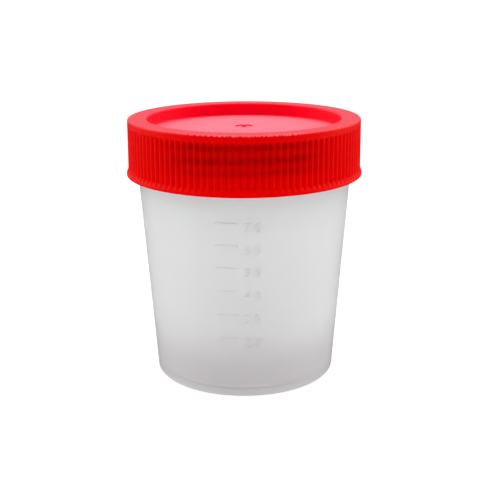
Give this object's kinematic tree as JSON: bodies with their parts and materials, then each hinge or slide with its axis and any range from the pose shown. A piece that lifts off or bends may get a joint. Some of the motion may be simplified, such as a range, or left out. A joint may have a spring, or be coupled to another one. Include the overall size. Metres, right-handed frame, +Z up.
{
  "type": "specimen container",
  "caption": "Tapered translucent cup with raised graduations on its side and a ribbed red screw lid with a sunk top panel.",
  "frame": {"origin": "centre of the foot ring, on the surface that the cup stands on, with the lid screwed home", "axes": "+Z up the axis of the cup, towards the lid; the graduations face -Y and the two nesting fins stand at -X and +X"},
  "size_m": [0.058, 0.058, 0.0642],
  "materials": {
    "natural_plastic": "milky, translucent, smooth",
    "red_plastic": "satin, slightly translucent"
  },
  "bodies": {
    "cup": {"cup": "natural_plastic"},
    "lid": {"lid": "red_plastic"}
  },
  "joints": [
    {"name": "lid_lift", "type": "slide", "parent": "cup", "child": "lid", "axis": [0, 0, 1], "range_m": [0, 0.06]}
  ]
}
